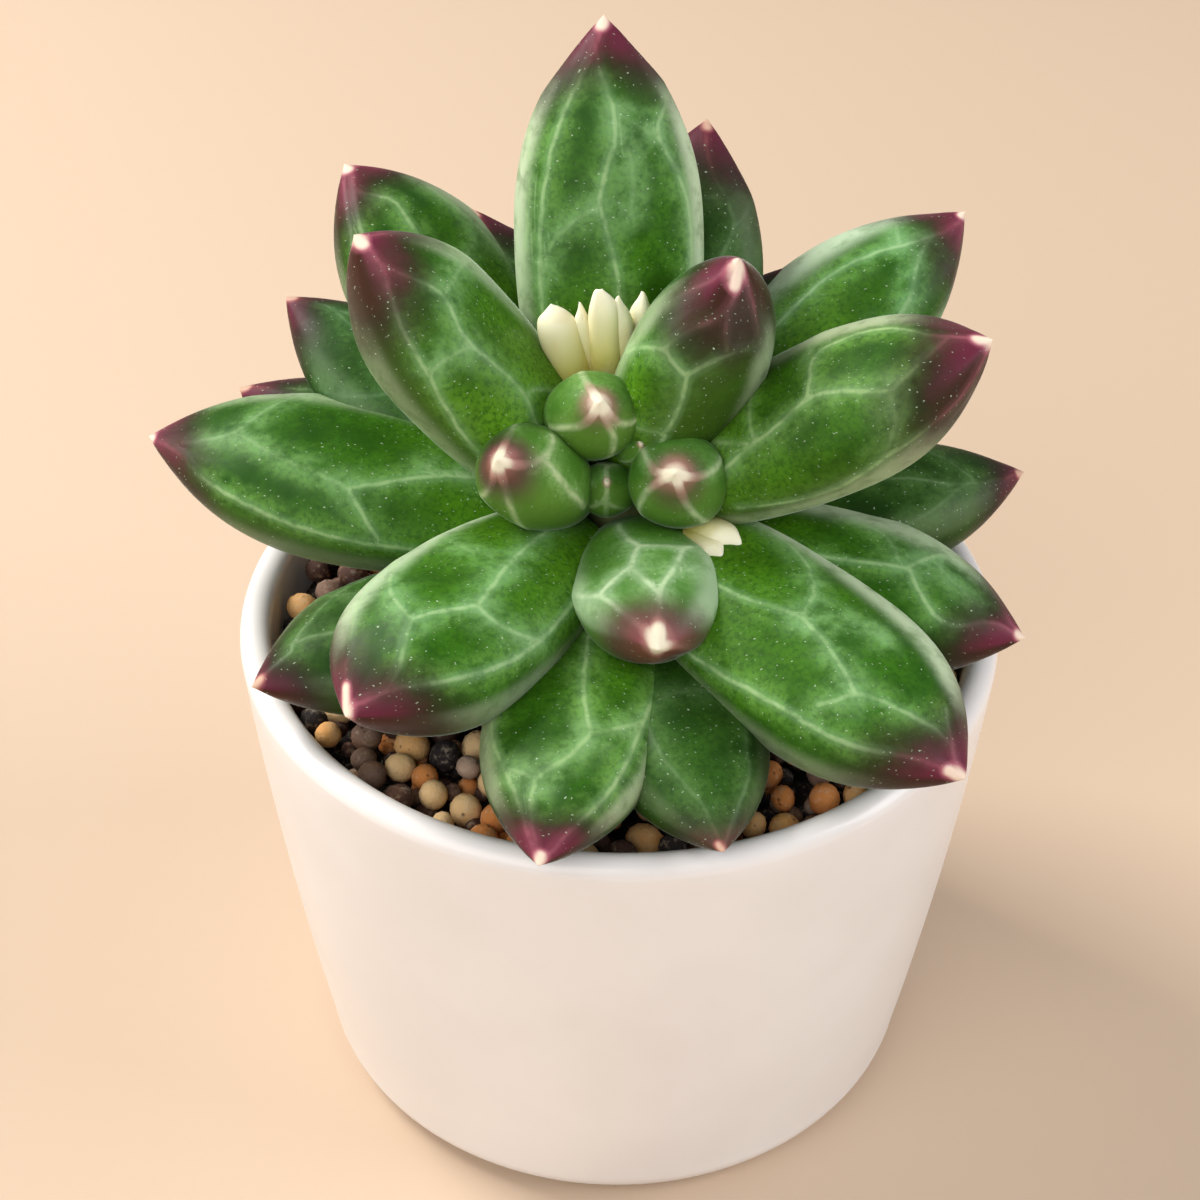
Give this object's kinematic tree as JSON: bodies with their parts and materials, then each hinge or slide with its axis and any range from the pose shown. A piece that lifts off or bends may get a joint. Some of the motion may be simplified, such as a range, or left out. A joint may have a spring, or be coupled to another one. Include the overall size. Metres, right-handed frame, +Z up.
{
  "type": "potted succulent",
  "caption": "Rosette succulent with fat pointed green leaves and purple tips, growing in a plain white flared round pot filled with clay grit.",
  "frame": {"origin": "middle of the pot's flat underside", "axes": "+Z up, -Y towards the front of the rosette, +X to the right seen from the front"},
  "size_m": [0.0925, 0.0832, 0.1136],
  "materials": {
    "glazed_pot": "glossy white glaze",
    "clay_grit": "matte fired clay balls in tan, orange brown, grey brown and near black",
    "stem": "matte green stem",
    "upper_leaf": "satin green skin with a pale bloom, pale facet lines and a purple tip",
    "lower_leaf": "satin dark green skin with a thin bloom and a purple tip",
    "centre_leaf": "satin light green skin with pale facet lines and a pinkish tip",
    "bract": "satin ivory"
  },
  "bodies": {
    "root": {"pot": "glazed_pot", "grit_bed": "clay_grit", "stem": "stem", "centre_leaf_1": "centre_leaf", "centre_leaf_2": "centre_leaf", "centre_leaf_3": "centre_leaf", "centre_leaf_4": "centre_leaf", "centre_leaf_5": "centre_leaf", "centre_leaf_6": "centre_leaf", "bract_1": "bract", "bract_2": "bract", "bract_3": "bract", "bract_4": "bract", "bract_5": "bract", "bract_6": "bract", "bract_7": "bract", "bract_8": "bract", "bract_9": "bract", "upper_leaf_1": "upper_leaf", "upper_leaf_2": "upper_leaf", "upper_leaf_3": "upper_leaf", "upper_leaf_4": "upper_leaf", "upper_leaf_5": "upper_leaf", "upper_leaf_6": "upper_leaf", "upper_leaf_7": "upper_leaf", "upper_leaf_8": "upper_leaf", "upper_leaf_9": "upper_leaf", "upper_leaf_10": "upper_leaf", "upper_leaf_11": "upper_leaf", "lower_leaf_1": "lower_leaf", "lower_leaf_2": "lower_leaf", "lower_leaf_3": "lower_leaf", "lower_leaf_4": "lower_leaf", "lower_leaf_5": "lower_leaf", "lower_leaf_6": "lower_leaf", "lower_leaf_7": "lower_leaf", "lower_leaf_8": "lower_leaf", "lower_leaf_9": "lower_leaf", "lower_leaf_10": "lower_leaf", "lower_leaf_11": "lower_leaf"}
  },
  "joints": []
}
